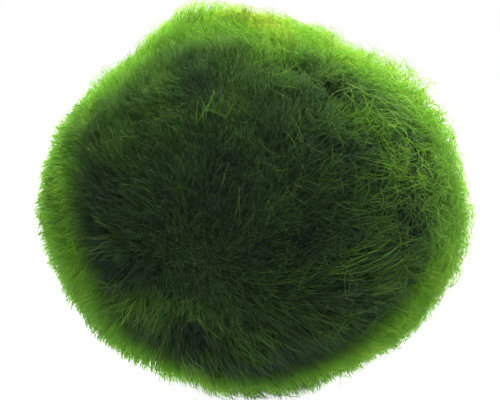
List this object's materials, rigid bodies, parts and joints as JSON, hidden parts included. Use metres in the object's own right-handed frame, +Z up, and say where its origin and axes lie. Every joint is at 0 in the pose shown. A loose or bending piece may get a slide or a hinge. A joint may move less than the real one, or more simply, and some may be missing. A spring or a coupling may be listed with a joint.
{
  "type": "marimo moss ball",
  "caption": "Round ball of filamentous green alga with a velvety, tufted surface, loose on a small flat resting spot, for an aquarium, bowl or terrarium.",
  "frame": {"origin": "on the surface that the ball rests on, under the middle of its bounding box", "axes": "+Z up, +X to the right of the ball seen from the pictured front, its longest extent, and -Y to that front"},
  "size_m": [0.0558, 0.053, 0.0489],
  "materials": {
    "moss": "matte wet fibres, deep green inside and bright lime where light comes through the tips"
  },
  "bodies": {
    "root": {"moss_ball": "moss"}
  },
  "joints": []
}
